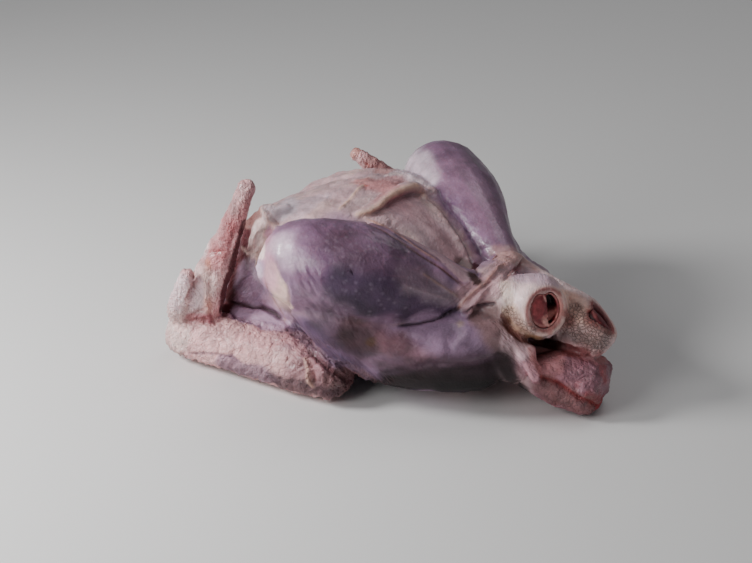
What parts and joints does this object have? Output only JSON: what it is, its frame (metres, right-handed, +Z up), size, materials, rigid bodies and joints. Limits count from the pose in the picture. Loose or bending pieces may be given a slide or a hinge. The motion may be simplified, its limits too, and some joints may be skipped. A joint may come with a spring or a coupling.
{
  "type": "whole raw turkey",
  "caption": "Whole raw turkey lying on its back, drumsticks tucked under a band of skin over the tail, wings folded at its sides.",
  "frame": {"origin": "middle of the bird's outline, on the flat patch of the back that it rests on", "axes": "+X towards the tail and the cut hocks, -X towards the neck, -Y towards the wing whose hand stands upright, +Z up through the breast"},
  "size_m": [0.3394, 0.281, 0.1525],
  "materials": {
    "skin": "moist raw skin, from pinkish beige on breast and wings to purple grey on the legs",
    "marrow_near": "dark red marrow in a pale bone rim, one lobe hollow",
    "marrow_far": "dark red marrow in a pale bone rim, one lobe hollow"
  },
  "bodies": {
    "root": {"turkey": "skin", "leg_bone_near": "marrow_near", "leg_bone_far": "marrow_far"}
  },
  "joints": []
}
